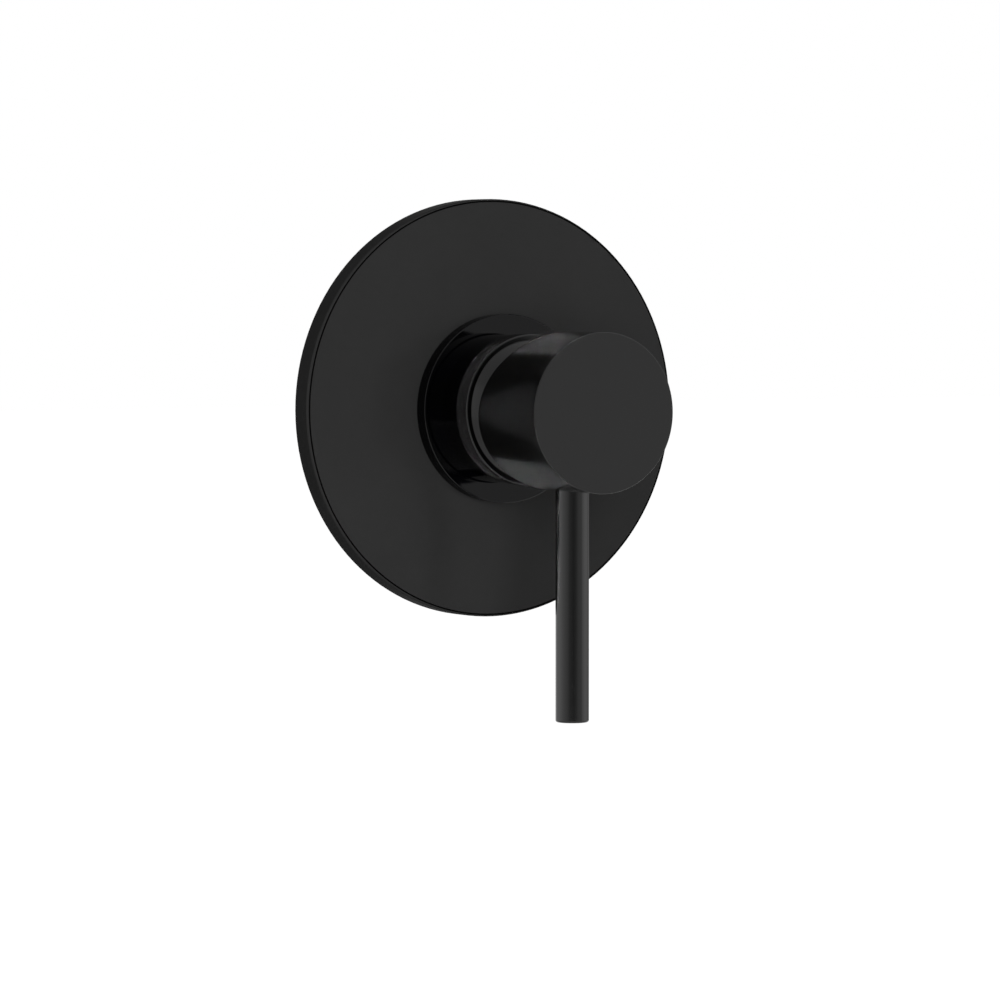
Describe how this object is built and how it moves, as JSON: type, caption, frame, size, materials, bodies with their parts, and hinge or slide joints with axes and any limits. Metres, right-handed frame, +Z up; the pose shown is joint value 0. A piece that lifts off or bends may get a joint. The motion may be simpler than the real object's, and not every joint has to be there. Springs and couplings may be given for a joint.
{
  "type": "built-in shower mixer",
  "caption": "Wall-mounted single-lever shower mixer: round cover plate, collar, tilting cylindrical handle with a slim pin lever, ceramic disc cartridge and brass body behind the wall.",
  "frame": {"origin": "where the mixer's axis meets the finished wall, behind the centre of the cover plate", "axes": "+Y into the wall along the mixer's axis, +Z up, +X to the right as seen by the user"},
  "size_m": [0.12, 0.1022, 0.147],
  "materials": {
    "plate_black": "matte",
    "gloss_black": "gloss",
    "sleeve_black": "satin",
    "handle_black": "satin",
    "brass": "cast and turned",
    "steel": "brushed",
    "white_plastic": "moulded",
    "grey_plastic": "moulded",
    "ceramic": "lapped",
    "rubber": "matte",
    "foam": "soft foam"
  },
  "bodies": {
    "fixed": {"cover_plate": "plate_black", "wall_gasket": "foam", "flange_ring": "gloss_black", "plate_o_ring": "rubber", "sleeve_o_ring": "rubber", "sleeve": "sleeve_black", "thrust_ring": "white_plastic", "fixed_disc": "ceramic", "disc_seals": "rubber", "cartridge_base": "white_plastic", "base_seals": "rubber", "cartridge_housing": "white_plastic", "cartridge_nut": "brass", "valve_body": "brass"},
    "guide": {"lever_guide": "grey_plastic", "pivot_pin": "steel"},
    "disc": {"disc_driver": "grey_plastic", "moving_disc": "ceramic"},
    "handle": {"handle_hub": "handle_black", "pin_lever": "handle_black", "grub_screw": "steel", "stem_insert": "grey_plastic", "spindle": "steel"}
  },
  "joints": [
    {"name": "temperature_turn", "type": "hinge", "parent": "fixed", "child": "guide", "pos_m": [0, 0, 0], "axis": [0, -1, 0], "range_deg": [-50, 50]},
    {"name": "flow_tilt", "type": "hinge", "parent": "guide", "child": "handle", "pos_m": [0, -0.01777, 0], "axis": [-1, 0, 0], "range_deg": [0, 25]},
    {"name": "disc_slide", "type": "slide", "parent": "guide", "child": "disc", "axis": [0, 0, -1], "range_m": [0, 0.00412]}
  ],
  "couplings": [
    {"joint": "disc_slide", "follows": "flow_tilt", "m_per_rad": 0.009444}
  ]
}
